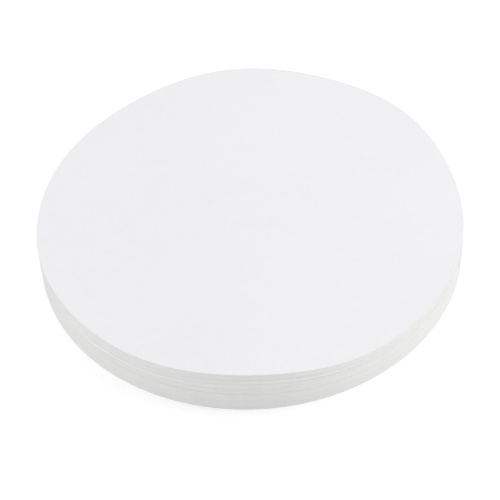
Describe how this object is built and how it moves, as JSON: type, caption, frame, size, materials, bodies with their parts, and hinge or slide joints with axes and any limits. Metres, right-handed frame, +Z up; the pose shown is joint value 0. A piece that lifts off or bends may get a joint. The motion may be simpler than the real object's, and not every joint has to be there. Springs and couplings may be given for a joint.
{
  "type": "stack of filter paper discs",
  "caption": "Squared-up stack of plain round filter papers for a laboratory funnel, each a separate flat disc of soft white paper.",
  "frame": {"origin": "centre of the stack's underside, on the surface it rests on", "axes": "+Z up through the stack, from the bottom disc to the top disc; +X and +Y lie in the paper's plane"},
  "size_m": [0.1801, 0.1802, 0.019],
  "materials": {
    "top_paper": "matte",
    "stacked_paper": "matte"
  },
  "bodies": {
    "root": {"top_disc": "top_paper", "upper_discs": "stacked_paper", "middle_discs": "stacked_paper", "lower_discs": "stacked_paper", "bottom_disc": "stacked_paper"}
  },
  "joints": []
}
